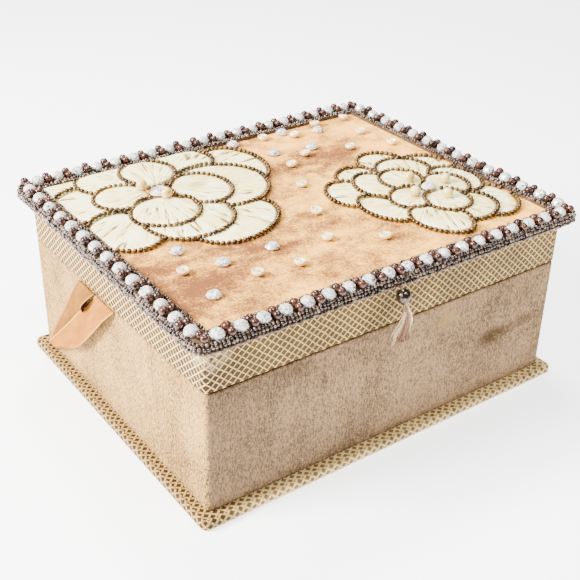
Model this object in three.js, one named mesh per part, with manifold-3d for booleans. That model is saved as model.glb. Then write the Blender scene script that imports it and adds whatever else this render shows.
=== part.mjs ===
// Velvet jewellery box with a hinged, beaded lid, a ribbon stay and a small pull tassel.
// Millimetres. X runs along the front wall, Y from the front to the back, Z up from the table.

import * as THREE from 'three';
import { mergeVertices } from 'three/addons/utils/BufferGeometryUtils.js';
import Module from 'manifold-3d';

const wasm = await Module();
wasm.setup();

// Clearances
const JOINT_GAP = 0.3;
const LID_SEAM = 0.7;

// Box body
const BODY_W = 200;
const BODY_D = 162;
const BODY_H = 60;
const BODY_CORNER_R = 3;
const WALL_T = 3.6;
const FLOOR_T = 3;
const RIM_EDGE_R = 0.8;

// Base board
const BASE_T = 5;
const BASE_LEDGE = 5.3;
const BASE_CORNER_R = 3.5;
const BASE_EDGE_R = 1.5;

// Lid
const SKIRT_H = 20.5;
const SKIRT_T = 3.6;
const LID_T = 4.6;
const LID_OVERHANG = 5;
const LID_CORNER_R = 6.5;
const LID_EDGE_R = 1.3;

// Beaded border round the lid, and the velvet field inside it
const FIELD_CORNER_R = 1;
const BORDER_W = 9.2;
const BORDER_TAPE_T = 1;
const BORDER_SIDE_T = 1.5;
const BORDER_SIDE_H = 3.4;
const BORDER_OUTER_TOP = 1.8;
const BORDER_INNER_TOP = 2;
const BORDER_INNER_W = 2.2;
const BORDER_CORNER_R = 0.6;
const STONE_ROW = 2.9;
const STONE_END = 10.2;
const STONE_R = 3.2;
const STONE_SINK = 0.4;
const STONE_H = 4.2;
const STONE_SIDES = 5;
const STONES_FRONT = 19;
const STONES_SIDE = 14;

// Flowers sewn on the lid
const PETAL_LAYER_H = 0.8;
const PETAL_EDGE_DROP = 0.5;
const PETAL_SHOULDER = 0.82;
const PETAL_SIDES = 11;
const CHAIN_R = 1.05;
const CHAIN_CLEARANCE = 0.4;
const CHAIN_SAG = 0.78;
const CHAIN_REACH = 3;
const CHAIN_SIDES = 4;
const CUTTER_H = 12;
const PEARL_R = 2.7;
const LARGE_STONE_R = 5.6;
const SMALL_STONE_R = 4;
const CENTRE_STONE_H = 2.8;
const CENTRE_STONE_ROUND = 0.88;

// Loose crystals and sequins on the velvet
const CRYSTAL_R = 3.5;
const CRYSTAL_H = 2.2;
const CRYSTAL_ROUND = 0.85;
const SEQUIN_R = 3;
const SEQUIN_H = 0.8;

// Pull tassel near the middle of the front
const BALL_X = -8.5;
const BALL_R = 3.3;
const BALL_BORE_R = 0.9;
const THREAD_R = 0.5;
const TASSEL_NECK_R = 1.3;
const TASSEL_NECK_SHIFT = 1.6;
const TASSEL_HEM_W = 11;
const TASSEL_HEM_D = 5;
const TASSEL_HEM_SHIFT = 0.4;
const TASSEL_H = 19;

// Ribbon stay on the left side: two strands out of the seam, which meet in a fold on the ledge
const RIBBON_T = 0.6;
const RIBBON_FOOT_SPAN = 21;
const RIBBON_FOOT_Y = 66;
const RIBBON_CURL_END = 0.26;
const FRONT_STRAND = { y: 3.4, span: 18, bow: 3.2, sag: 2.2, curl: 0 };
const BACK_STRAND = { y: 21.8, span: 16, bow: 0.9, sag: 0, curl: 4 };

// Cloth hinge across the back
const HINGE_W = 184;
const HINGE_H = 24;
const HINGE_T = 0.8;

// Levels, from the table up
const BODY_Z = BASE_T + JOINT_GAP;
const RIM_Z = BODY_Z + BODY_H;
const SKIRT_Z = RIM_Z + LID_SEAM;
const LID_Z = SKIRT_Z + SKIRT_H + JOINT_GAP;
const LID_TOP = LID_Z + LID_T;
const TRIM_Z = LID_TOP + JOINT_GAP;
const HINGE_Z = RIM_Z + LID_SEAM / 2;
const LID_W = BODY_W + 2 * LID_OVERHANG;
const LID_D = BODY_D + 2 * LID_OVERHANG;
const FIELD_W = LID_W - 2 * (BORDER_W + JOINT_GAP);
const FIELD_D = LID_D - 2 * (BORDER_W + JOINT_GAP);
const CORNER_STEPS = 3;

// A rounded rectangle about the origin, counter-clockwise from its front right corner.
function roundedRect(width, depth, radius) {
  const points = [];
  const arcs = [
    [1, -1, -Math.PI / 2],
    [1, 1, 0],
    [-1, 1, Math.PI / 2],
    [-1, -1, Math.PI],
  ];
  for (const [sx, sy, start] of arcs) {
    const cx = sx * (width / 2 - radius);
    const cy = sy * (depth / 2 - radius);
    for (let i = 0; i <= CORNER_STEPS; i++) {
      const angle = start + (i / CORNER_STEPS) * (Math.PI / 2);
      points.push([cx + radius * Math.cos(angle), cy + radius * Math.sin(angle)]);
    }
  }
  return points;
}

// The points of an ellipse, counter-clockwise.
function ellipse(rx, ry, sides, turn = 0) {
  const points = [];
  for (let i = 0; i < sides; i++) {
    const angle = (i / sides) * 2 * Math.PI;
    const x = rx * Math.cos(angle);
    const y = ry * Math.sin(angle);
    points.push([x * Math.cos(turn) - y * Math.sin(turn), x * Math.sin(turn) + y * Math.cos(turn)]);
  }
  return points;
}

function ring(points, z, scale = 1) {
  return points.map(([x, y]) => new THREE.Vector3(x * scale, y * scale, z));
}

// Skins a closed body over rings of equal length. The ends are capped, or joined in a loop.
function skin(rings, looped = false) {
  const count = rings[0].length;
  const positions = [];
  const indices = [];
  for (const points of rings) {
    for (const p of points) {
      positions.push(p.x, p.y, p.z);
    }
  }
  const spans = looped ? rings.length : rings.length - 1;
  for (let r = 0; r < spans; r++) {
    const low = r * count;
    const high = ((r + 1) % rings.length) * count;
    for (let i = 0; i < count; i++) {
      const j = (i + 1) % count;
      indices.push(low + i, low + j, high + j, low + i, high + j, high + i);
    }
  }
  if (!looped) {
    const top = (rings.length - 1) * count;
    for (let i = 1; i < count - 1; i++) {
      indices.push(0, i + 1, i, top, top + i, top + i + 1);
    }
  }
  const geometry = new THREE.BufferGeometry();
  geometry.setAttribute('position', new THREE.Float32BufferAttribute(positions, 3));
  geometry.setIndex(indices);
  return geometry;
}

function toSolid(geometry) {
  const bare = geometry.clone();
  bare.deleteAttribute('normal');
  bare.deleteAttribute('uv');
  const merged = mergeVertices(bare, 1e-4);
  const mesh = new wasm.Mesh({
    numProp: 3,
    vertProperties: new Float32Array(merged.attributes.position.array),
    triVerts: new Uint32Array(merged.index.array),
  });
  return new wasm.Manifold(mesh);
}

function toGeometry(solid) {
  const mesh = solid.getMesh();
  const geometry = new THREE.BufferGeometry();
  geometry.setAttribute('position', new THREE.Float32BufferAttribute(mesh.vertProperties, 3));
  geometry.setIndex(Array.from(mesh.triVerts));
  return geometry;
}

function unite(geometries) {
  let whole = toSolid(geometries[0]);
  for (const geometry of geometries.slice(1)) {
    whole = whole.add(toSolid(geometry));
  }
  return whole;
}

// A board with rounded corners and edges.
function board(width, depth, z0, z1, cornerR, edgeR) {
  const inner = roundedRect(width - 2 * edgeR, depth - 2 * edgeR, cornerR - edgeR);
  const outer = roundedRect(width, depth, cornerR);
  return skin([ring(inner, z0), ring(outer, z0 + edgeR), ring(outer, z1 - edgeR), ring(inner, z1)]);
}

// The velvet tray: four walls and a floor.
function bodyTray() {
  const outer = roundedRect(BODY_W, BODY_D, BODY_CORNER_R);
  const lip = roundedRect(BODY_W - 2 * RIM_EDGE_R, BODY_D - 2 * RIM_EDGE_R, BODY_CORNER_R - RIM_EDGE_R);
  const inner = roundedRect(BODY_W - 2 * WALL_T, BODY_D - 2 * WALL_T, RIM_EDGE_R);
  return skin([
    ring(outer, BODY_Z),
    ring(outer, RIM_Z - RIM_EDGE_R),
    ring(lip, RIM_Z),
    ring(inner, RIM_Z),
    ring(inner, BODY_Z + FLOOR_T),
  ]);
}

// The lid's side frame, flush with the body's walls.
function lidSkirt() {
  const outer = roundedRect(BODY_W, BODY_D, BODY_CORNER_R);
  const lip = roundedRect(BODY_W - 2 * RIM_EDGE_R, BODY_D - 2 * RIM_EDGE_R, BODY_CORNER_R - RIM_EDGE_R);
  const inner = roundedRect(BODY_W - 2 * SKIRT_T, BODY_D - 2 * SKIRT_T, RIM_EDGE_R);
  const top = SKIRT_Z + SKIRT_H;
  return skin(
    [
      ring(inner, SKIRT_Z),
      ring(lip, SKIRT_Z),
      ring(outer, SKIRT_Z + RIM_EDGE_R),
      ring(outer, top),
      ring(inner, top),
    ],
    true,
  );
}

// A many-sided dome or stone: its outline, and rows of [height, scale] from the foot up.
function dome(outline, rows, x, y, z) {
  return skin(rows.map(([height, scale]) => ring(outline, height, scale))).translate(x, y, z);
}

// Places of the stones along the border, as x and y.
function stonePlaces() {
  const x = LID_W / 2 - STONE_ROW;
  const y = LID_D / 2 - STONE_ROW;
  const along = (length, count, place) => {
    const pitch = (length - 2 * STONE_END) / (count - 1);
    return Array.from({ length: count }, (_, i) => place((i - (count - 1) / 2) * pitch));
  };
  return [
    ...along(LID_W, STONES_FRONT, (s) => [s, -y]),
    ...along(LID_D, STONES_SIDE, (s) => [x, s]),
    ...along(LID_W, STONES_FRONT, (s) => [s, y]),
    ...along(LID_D, STONES_SIDE, (s) => [-x, s]),
  ];
}

// The border: a tape with a raised bead edge on both sides and a row of stones between.
function beadedBorder() {
  const level = (offset, z) => {
    const radius = Math.max(LID_CORNER_R - offset, BORDER_CORNER_R);
    return ring(roundedRect(LID_W - 2 * offset, LID_D - 2 * offset, radius), TRIM_Z + z);
  };
  const outside = JOINT_GAP + BORDER_SIDE_T;
  const innerEdge = BORDER_W - BORDER_INNER_W;
  const section = [
    level(-JOINT_GAP, -BORDER_SIDE_H),
    level(-outside, -BORDER_SIDE_H + BORDER_SIDE_T / 2),
    level(-outside, BORDER_TAPE_T / 2),
    level(-outside / 2, BORDER_OUTER_TOP),
    level(BORDER_SIDE_T / 2, BORDER_TAPE_T),
    level(innerEdge, BORDER_TAPE_T),
    level(innerEdge + BORDER_INNER_W / 3, BORDER_INNER_TOP),
    level(BORDER_W - BORDER_INNER_W / 4, BORDER_INNER_TOP),
    level(BORDER_W, 0),
    level(-JOINT_GAP, 0),
  ];
  const parts = [skin(section, true)];
  const foot = ellipse(STONE_R, STONE_R, STONE_SIDES);
  const rows = [
    [0, 0.7],
    [STONE_H * 0.45, 1],
    [STONE_H, 0.55],
  ];
  const seat = TRIM_Z + BORDER_TAPE_T - STONE_SINK;
  for (const [x, y] of stonePlaces()) {
    parts.push(dome(foot, rows, x, y, seat));
  }
  return unite(parts);
}

// The lid's artwork is laid out in hundredths of the field's half width and half depth.
const across = (share) => ((share / 100) * FIELD_W) / 2;
const upward = (share) => ((share / 100) * FIELD_D) / 2;

// A petal: place from the flower's centre stone, half sizes, turn in degrees and layer.
function petal(x, y, rx, ry, turn, layer) {
  return {
    x: across(x),
    y: upward(y),
    rx: across(rx),
    ry: upward(ry),
    turn: (turn * Math.PI) / 180,
    layer,
  };
}

// Petals from the lowest to the uppermost.
const LARGE_FLOWER = {
  x: across(-52),
  y: upward(55),
  petals: [
    petal(-36.5, 40.5, 14.5, 15.5, 0, 1),
    petal(39.5, 47, 6, 8.5, 0, 1),
    petal(-34, 7, 19, 24, 0, 1),
    petal(-34.5, -36.5, 16, 24, 0, 1),
    petal(51.5, 12, 14, 28, 0, 1),
    petal(15.5, -59, 25, 21, 23, 1),
    petal(25, 32, 18.5, 19.5, 0, 2),
    petal(-13.5, 31.5, 18.5, 20.5, 0, 2),
    petal(29.5, -12.5, 24.5, 30, 0, 2),
    petal(-3, -43, 21.5, 23.5, 0, 2),
    petal(4.5, 27, 13, 17.5, 0, 3),
    petal(-20, 3.5, 13, 14.5, 0, 3),
    petal(19, -12, 13.5, 21, 0, 3),
    petal(-9.5, -29, 16, 18.5, 0, 3),
  ],
};

const SMALL_FLOWER = {
  x: across(63.5),
  y: upward(-38),
  petals: [
    petal(-18, 40.5, 12, 15.5, 0, 1),
    petal(3.5, 52.5, 11.5, 15.5, 0, 1),
    petal(22, 31.5, 12, 17.5, 20, 1),
    petal(-36.5, 25.5, 9, 17, -12, 1),
    petal(-30.5, -4, 9, 19, 12, 1),
    petal(20, -29, 13.5, 21, -20, 1),
    petal(6.5, 34, 13.5, 17, 0, 2),
    petal(-18.5, 25.5, 9.5, 16.5, -15, 2),
    petal(22, 4, 11.5, 18.5, 0, 2),
    petal(5, -29, 14.5, 17, 0, 2),
    petal(-16, -34.5, 10.5, 19.5, 20, 2),
    petal(-4, 21, 10, 13.5, 0, 3),
    petal(12.5, 0, 9.5, 14.5, 0, 3),
    petal(-13.5, -3.5, 10, 12.5, 0, 3),
    petal(-0.5, -19, 10.5, 13, 0, 3),
  ],
};

function petalHeight(p) {
  return p.layer * PETAL_LAYER_H;
}

// How far a place is from a petal's middle, as a share of its outline grown by a margin.
function reach(p, x, y, grow) {
  const dx = x - p.x;
  const dy = y - p.y;
  const u = (dx * Math.cos(p.turn) + dy * Math.sin(p.turn)) / (p.rx + grow);
  const v = (dy * Math.cos(p.turn) - dx * Math.sin(p.turn)) / (p.ry + grow);
  return Math.hypot(u, v);
}

// The top of the petals within a radius of a place, leaving one petal out.
function heightAround(petals, x, y, radius, skipped = null) {
  let height = 0;
  for (const p of petals) {
    if (p !== skipped && reach(p, x, y, radius) < 1) {
      height = Math.max(height, petalHeight(p));
    }
  }
  return height;
}

function fieldBlock(margin, z0, z1) {
  const outline = roundedRect(FIELD_W - 2 * margin, FIELD_D - 2 * margin, FIELD_CORNER_R);
  return toSolid(skin([ring(outline, z0), ring(outline, z1)]));
}

function petalPads(flower) {
  const pads = flower.petals.map((p) => {
    const outline = ellipse(p.rx, p.ry, PETAL_SIDES, p.turn);
    const top = petalHeight(p);
    const rows = [
      [0, 1],
      [top - PETAL_EDGE_DROP, 1],
      [top, PETAL_SHOULDER],
    ];
    return dome(outline, rows, flower.x + p.x, flower.y + p.y, TRIM_Z);
  });
  return unite(pads).intersect(fieldBlock(JOINT_GAP, TRIM_Z - CUTTER_H, TRIM_Z + CUTTER_H));
}

// The stretches of a petal's outline that no higher petal and no border covers.
function openRuns(flower, index) {
  const own = flower.petals[index];
  const grow = CHAIN_R + CHAIN_CLEARANCE;
  const samples = 180;
  const margin = JOINT_GAP + CHAIN_R;
  const place = (t) => {
    const angle = t * 2 * Math.PI;
    const u = (own.rx + grow) * Math.cos(angle);
    const v = (own.ry + grow) * Math.sin(angle);
    return [
      own.x + u * Math.cos(own.turn) - v * Math.sin(own.turn),
      own.y + u * Math.sin(own.turn) + v * Math.cos(own.turn),
    ];
  };
  const open = (t) => {
    const [x, y] = place(t);
    const inField =
      Math.abs(x + flower.x) < FIELD_W / 2 - margin && Math.abs(y + flower.y) < FIELD_D / 2 - margin;
    return inField && flower.petals.slice(index + 1).every((p) => reach(p, x, y, grow) >= 1);
  };
  const edge = (inside, outside) => {
    let a = inside;
    let b = outside;
    for (let i = 0; i < 12; i++) {
      const middle = (a + b) / 2;
      if (open(middle)) {
        a = middle;
      } else {
        b = middle;
      }
    }
    return a;
  };
  const flags = Array.from({ length: samples }, (_, i) => open(i / samples));
  if (flags.every(Boolean)) {
    return [{ start: 0, end: 1, place, closed: true }];
  }
  const runs = [];
  for (let i = 0; i < samples; i++) {
    if (flags[i] && !flags[(i + samples - 1) % samples]) {
      let j = i;
      while (flags[(j + 1) % samples]) {
        j++;
      }
      const start = edge(i / samples, (i - 1) / samples);
      const end = edge(j / samples, (j + 1) / samples);
      runs.push({ start, end, place, closed: false });
    }
  }
  return runs;
}

// A round cord along a line of points.
function cord(points, radius, sides, closed) {
  const up = new THREE.Vector3(0, 0, 1);
  const count = points.length;
  const rings = points.map((point, i) => {
    const before = points[closed ? (i + count - 1) % count : Math.max(i - 1, 0)];
    const after = points[closed ? (i + 1) % count : Math.min(i + 1, count - 1)];
    const along = after.clone().sub(before).normalize();
    const across = up.clone().cross(along).normalize();
    const rise = along.clone().cross(across);
    const section = [];
    for (let k = 0; k < sides; k++) {
      const angle = (k / sides) * 2 * Math.PI + Math.PI / 2;
      section.push(
        point
          .clone()
          .addScaledVector(across, radius * Math.cos(angle))
          .addScaledVector(rise, radius * Math.sin(angle)),
      );
    }
    return section;
  });
  return skin(rings, closed);
}

// The bead chains that outline a flower's petals.
function beadChains(flower, keepOuts) {
  const cords = [];
  flower.petals.forEach((own, index) => {
    for (const run of openRuns(flower, index)) {
      const stepAngle = 2 * Math.acos(1 - CHAIN_SAG / Math.max(own.rx, own.ry));
      const steps = Math.ceil(((run.end - run.start) * 2 * Math.PI) / stepAngle);
      const points = [];
      for (let i = 0; i < (run.closed ? steps : steps + 1); i++) {
        const [x, y] = run.place(run.start + ((run.end - run.start) * i) / steps);
        const lift = heightAround(flower.petals, x, y, CHAIN_REACH, own);
        const z = TRIM_Z + lift + JOINT_GAP + CHAIN_R;
        points.push(new THREE.Vector3(flower.x + x, flower.y + y, z));
      }
      cords.push(cord(points, CHAIN_R, CHAIN_SIDES, run.closed));
    }
  });
  let chains = unite(cords);
  for (const { x, y, r } of keepOuts) {
    const outline = ellipse(r + JOINT_GAP, r + JOINT_GAP, 12);
    const rows = [
      [-CUTTER_H, 1],
      [CUTTER_H, 1],
    ];
    chains = chains.subtract(toSolid(dome(outline, rows, x, y, TRIM_Z)));
  }
  // A bead cut off between two stones is left out.
  return chains.decompose().sort((a, b) => b.volume() - a.volume())[0];
}

const group = new THREE.Group();
group.name = 'jewellery_box';

function add(name, geometry, colour, roughness, metalness = 0) {
  const material = new THREE.MeshStandardMaterial({ color: colour, roughness, metalness });
  const plain = geometry.index ? geometry : mergeVertices(geometry);
  plain.computeVertexNormals();
  const mesh = new THREE.Mesh(plain, material);
  mesh.name = name;
  group.add(mesh);
  return mesh;
}

// Colours
const VELVET = 0xb59e86;
const LATTICE = 0xd3bd8d;
const LID_VELVET = 0xd9ab8b;
const SATIN = 0xf3ead6;
const BRONZE = 0x8a5a30;
const BROWN_BEADS = 0x8b6a5a;
const CRYSTAL = 0xf4f4f2;
const PEARL = 0xeadfc6;
const CREAM = 0xf0e2c4;
const GUNMETAL = 0x3a3835;
const THREAD = 0xf0dccb;
const RIBBON = 0xe8c49c;

// Box, base and lid boards
add(
  'base_board',
  board(BODY_W + 2 * BASE_LEDGE, BODY_D + 2 * BASE_LEDGE, 0, BASE_T, BASE_CORNER_R, BASE_EDGE_R),
  LATTICE,
  0.7,
);
add('box_body', bodyTray(), VELVET, 0.9);
add('lid_skirt', lidSkirt(), LATTICE, 0.7);
add('lid_board', board(LID_W, LID_D, LID_Z, LID_TOP, LID_CORNER_R, LID_EDGE_R), LID_VELVET, 0.9);
add('beaded_border', toGeometry(beadedBorder()), BROWN_BEADS, 0.4, 0.2);

// Flowers: satin petals, their bead chains, a centre stone and pearls
const FLOWERS = [
  {
    name: 'large_flower',
    flower: LARGE_FLOWER,
    stone: LARGE_STONE_R,
    pearls: [
      [-8, 4.5],
      [-2, -13.5],
    ],
  },
  {
    name: 'small_flower',
    flower: SMALL_FLOWER,
    stone: SMALL_STONE_R,
    pearls: [
      [-12, -4],
      [0.5, -17],
      [-3, 14.5],
      [11.5, 0.5],
    ],
  },
];

for (const { name, flower, stone, pearls } of FLOWERS) {
  const keepOuts = [{ x: flower.x, y: flower.y, r: stone }];
  for (const [x, y] of pearls) {
    keepOuts.push({ x: flower.x + across(x), y: flower.y + upward(y), r: PEARL_R });
  }
  add(`${name}_petals`, toGeometry(petalPads(flower)), SATIN, 0.45);
  add(`${name}_chains`, toGeometry(beadChains(flower, keepOuts)), BRONZE, 0.35, 0.6);
  const seat = TRIM_Z + heightAround(flower.petals, 0, 0, stone) + JOINT_GAP;
  const facets = [
    [0, 0.85],
    [CENTRE_STONE_H * 0.4, 1],
    [CENTRE_STONE_H, 0.6],
  ];
  const oval = ellipse(stone, stone * CENTRE_STONE_ROUND, 10);
  add(`${name}_stone`, dome(oval, facets, flower.x, flower.y, seat), CRYSTAL, 0.1);
  pearls.forEach(([shareX, shareY], i) => {
    const x = across(shareX);
    const y = upward(shareY);
    const z = TRIM_Z + heightAround(flower.petals, x, y, PEARL_R) + JOINT_GAP + PEARL_R;
    const ball = new THREE.SphereGeometry(PEARL_R, 7, 4).rotateX(Math.PI / 2);
    add(`${name}_pearl_${i + 1}`, ball.translate(flower.x + x, flower.y + y, z), PEARL, 0.2);
  });
}

// Clear crystals: place in shares of the field
const CRYSTALS = [
  [13, 95.5],
  [46.5, 95.5],
  [66.5, 85.5],
  [48.5, 62.5],
  [26, 68],
  [-37.5, -44.5],
  [-64.5, -45],
  [-76.5, -19.5],
  [-83, -72.5],
];
CRYSTALS.forEach(([x, y], i) => {
  const rows = [
    [0, 1],
    [CRYSTAL_H * 0.4, 1],
    [CRYSTAL_H, 0.5],
  ];
  const outline = ellipse(CRYSTAL_R, CRYSTAL_R * CRYSTAL_ROUND, 6);
  add(`crystal_${i + 1}`, dome(outline, rows, across(x), upward(y), TRIM_Z), CRYSTAL, 0.1);
});

// Cream sequins: place in shares of the field
const SEQUINS = [
  [32.5, 94],
  [50.5, 86.5],
  [39.5, 54],
  [24.5, 44],
  [66.5, 47],
  [86, 66],
  [90.5, 94],
  [90, 38],
  [70, 95],
  [14, 15],
  [1, -22],
  [-11, -54],
  [12.5, -71],
  [-36.5, -70],
  [-57, -66],
  [-84, -42],
];
SEQUINS.forEach(([x, y], i) => {
  const rows = [
    [0, 1],
    [SEQUIN_H, 1],
  ];
  const outline = ellipse(SEQUIN_R, SEQUIN_R, 6);
  add(`sequin_${i + 1}`, dome(outline, rows, across(x), upward(y), TRIM_Z), CREAM, 0.3);
});

// Pull: a bored metal ball on a thread, and the tassel that fans out below it
const pullY = -(LID_D / 2 + JOINT_GAP + BORDER_SIDE_T + JOINT_GAP + BALL_R);
const ballZ = LID_TOP - BORDER_SIDE_H - BALL_R / 2;
const ballArc = Math.PI - 2 * Math.asin(BALL_BORE_R / BALL_R);
const ballProfile = Array.from({ length: 7 }, (_, i) => {
  const angle = (i / 6 - 0.5) * ballArc;
  return new THREE.Vector2(BALL_R * Math.cos(angle), BALL_R * Math.sin(angle));
});
ballProfile.push(ballProfile[0].clone());
const ball = new THREE.LatheGeometry(ballProfile, 8).rotateX(Math.PI / 2);
add('pull_ball', ball.translate(BALL_X, pullY, ballZ), GUNMETAL, 0.25, 0.9);

// Rows of the tassel from the hem up: share of its height, half width, half depth and sideways shift.
const neckZ = ballZ - BALL_R - JOINT_GAP;
const tasselRows = [
  [-1, TASSEL_HEM_W / 2, TASSEL_HEM_D / 2, TASSEL_HEM_SHIFT],
  [-0.6, TASSEL_HEM_W / 3, TASSEL_HEM_D / 2.5, (TASSEL_NECK_SHIFT + TASSEL_HEM_SHIFT) / 2],
  [-0.2, TASSEL_NECK_R, TASSEL_NECK_R, TASSEL_NECK_SHIFT],
  [-0.08, TASSEL_NECK_R, TASSEL_NECK_R, TASSEL_NECK_SHIFT],
  [0, THREAD_R, THREAD_R, 0],
];
const tasselRings = tasselRows.map(([share, rx, ry, shift]) =>
  ring(ellipse(rx, ry, 8), neckZ + share * TASSEL_H).map((p) => p.setX(p.x + shift)),
);
tasselRings.push(ring(ellipse(THREAD_R, THREAD_R, 8), ballZ + BALL_R + JOINT_GAP));
add('tassel', skin(tasselRings).translate(BALL_X, pullY, 0), THREAD, 0.6);

// A ribbon strand from the seam down to the ledge. It stands out from the wall by an even bow,
// and near the seam its front edge curls out further.
function strand({ y, span, bow, sag, curl }) {
  const topZ = RIM_Z;
  const footZ = BODY_Z + RIBBON_T / 2;
  const stations = [0, 0.06, 0.13, 0.2, 0.3, 0.5, 0.75, 1];
  const rings = stations.map((t) => {
    const middle = y + (RIBBON_FOOT_Y - y) * t - sag * Math.sin(Math.PI * t);
    const width = span + (RIBBON_FOOT_SPAN - span) * t;
    const rise = Math.sin((Math.PI / 2) * Math.min(1, 2 * Math.sin(Math.PI * t)));
    const lift = Math.sin(Math.PI * Math.min(t / RIBBON_CURL_END, 1));
    const z = topZ + (footZ - topZ) * t;
    const place = (side, face) => {
      const out = JOINT_GAP + RIBBON_T + bow * rise + curl * lift * (0.5 - side) ** 1.5;
      return new THREE.Vector3(-BODY_W / 2 - out + (face * RIBBON_T) / 2, middle + side * width, z);
    };
    return [place(-0.5, -1), place(0, -1), place(0.5, -1), place(0.5, 1), place(0, 1), place(-0.5, 1)];
  });
  return skin(rings);
}

const ribbon = unite([strand(BACK_STRAND), strand(FRONT_STRAND)]);
add('ribbon_stay', toGeometry(ribbon), RIBBON, 0.4);

// Cloth hinge across the seam at the back
const hinge = new THREE.BoxGeometry(HINGE_W, HINGE_T, HINGE_H);
const hingeY = BODY_D / 2 + JOINT_GAP + HINGE_T / 2;
add('cloth_hinge', hinge.translate(0, hingeY, HINGE_Z), LATTICE, 0.7);

export default group;
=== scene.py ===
"""Velvet jewellery box with a hinged, beaded lid, satin flowers, a ribbon stay and a pull tassel."""

import math
import random

import bpy
import numpy as np
from mathutils import Matrix, Vector


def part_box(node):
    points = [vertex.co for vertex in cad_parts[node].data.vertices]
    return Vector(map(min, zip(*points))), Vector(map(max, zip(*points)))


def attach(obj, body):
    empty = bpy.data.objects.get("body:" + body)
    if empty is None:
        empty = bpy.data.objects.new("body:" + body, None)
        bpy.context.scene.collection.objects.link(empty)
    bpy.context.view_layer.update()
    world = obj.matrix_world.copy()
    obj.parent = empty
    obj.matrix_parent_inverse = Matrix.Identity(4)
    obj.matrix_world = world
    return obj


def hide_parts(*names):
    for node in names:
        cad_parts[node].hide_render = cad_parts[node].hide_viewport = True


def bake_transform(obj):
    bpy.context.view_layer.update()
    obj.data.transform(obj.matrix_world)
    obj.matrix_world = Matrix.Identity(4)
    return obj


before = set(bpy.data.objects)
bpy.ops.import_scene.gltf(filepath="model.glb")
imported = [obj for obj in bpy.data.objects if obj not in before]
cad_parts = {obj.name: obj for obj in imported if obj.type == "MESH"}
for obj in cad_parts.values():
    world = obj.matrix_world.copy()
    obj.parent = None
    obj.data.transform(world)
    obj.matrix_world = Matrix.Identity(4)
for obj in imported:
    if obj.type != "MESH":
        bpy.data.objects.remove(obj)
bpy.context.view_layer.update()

MM = 0.001

# Sizes that the CAD model sets, read from its nodes
BASE_LO, BASE_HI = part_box("base_board")
BODY_LO, BODY_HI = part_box("box_body")
SKIRT_LO, SKIRT_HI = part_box("lid_skirt")
LID_LO, LID_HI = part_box("lid_board")
HINGE_LO, HINGE_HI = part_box("cloth_hinge")
BALL_LO, BALL_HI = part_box("pull_ball")
TASSEL_LO, TASSEL_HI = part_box("tassel")

BODY_W = BODY_HI[0] - BODY_LO[0]
BODY_D = BODY_HI[1] - BODY_LO[1]
LID_W = LID_HI[0] - LID_LO[0]
LID_D = LID_HI[1] - LID_LO[1]
RIM_Z = BODY_HI[2]
SKIRT_Z = SKIRT_LO[2]
SEAM_Z = (RIM_Z + SKIRT_Z) / 2
LID_TOP = LID_HI[2]

# Sizes shared with the solids
GAP = 0.3 * MM
WALL_T = 3.6 * MM
FLOOR_T = 3 * MM
BODY_CORNER_R = 3 * MM
BASE_CORNER_R = 3.5 * MM
LID_CORNER_R = 6.5 * MM
BORDER_W = 9.2 * MM
TAPE_T = 0.8 * MM
STONE_ROW = 2.9 * MM
STONE_END = 10.2 * MM
STONE_R = 3.2 * MM
STONE_H = 4.2 * MM
STONES_FRONT = 19
STONES_SIDE = 14
PETAL_LAYER_H = 0.8 * MM
PETAL_EDGE_DROP = 0.5 * MM
CHAIN_R = 1.05 * MM
CHAIN_CLEARANCE = 0.4 * MM
CHAIN_PITCH = 2.6 * MM
SKIRT_PITCH = 4.1 * MM
RIBBON_W = 12 * MM
RIBBON_T = 0.6 * MM
RIBBON_FOOT_SPAN = 21 * MM
RIBBON_FOOT_Y = 66 * MM
RIBBON_CURL_END = 0.26
FRONT_STRAND = {"y": 3.4 * MM, "span": 18 * MM, "bow": 3.2 * MM, "sag": 2.2 * MM, "curl": 0, "dip": 3.1 * MM}
BACK_STRAND = {"y": 21.8 * MM, "span": 16 * MM, "bow": 0.9 * MM, "sag": 0, "curl": 4 * MM, "dip": 0}
LINING_T = 1.2 * MM
SEED_R = 0.93 * MM
SEED_PITCH = 1.75 * MM
BROWN_BEAD_R = 2 * MM
PEARL_SINK = 0.25 * MM
THREAD_R = 0.2 * MM
CORD_R = 0.4 * MM
TRIM_Z = LID_TOP + GAP
FIELD_X = LID_W / 2 - BORDER_W - GAP
FIELD_Y = LID_D / 2 - BORDER_W - GAP

# Width, depth and corner radius of the rectangles that bands go round
BODY_RECT = (BODY_W, BODY_D, BODY_CORNER_R)
LID_RECT = (LID_W, LID_D, LID_CORNER_R)


def centre_of(lo, hi):
    return [(a + b) / 2 for a, b in zip(lo, hi)]


rng = random.Random(7)
nprng = np.random.default_rng(7)


# Node materials
LATTICE_FADE = 26 * MM
FRONT_FADE = 75 * MM
CORNER_FADE = 2 * MM


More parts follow.
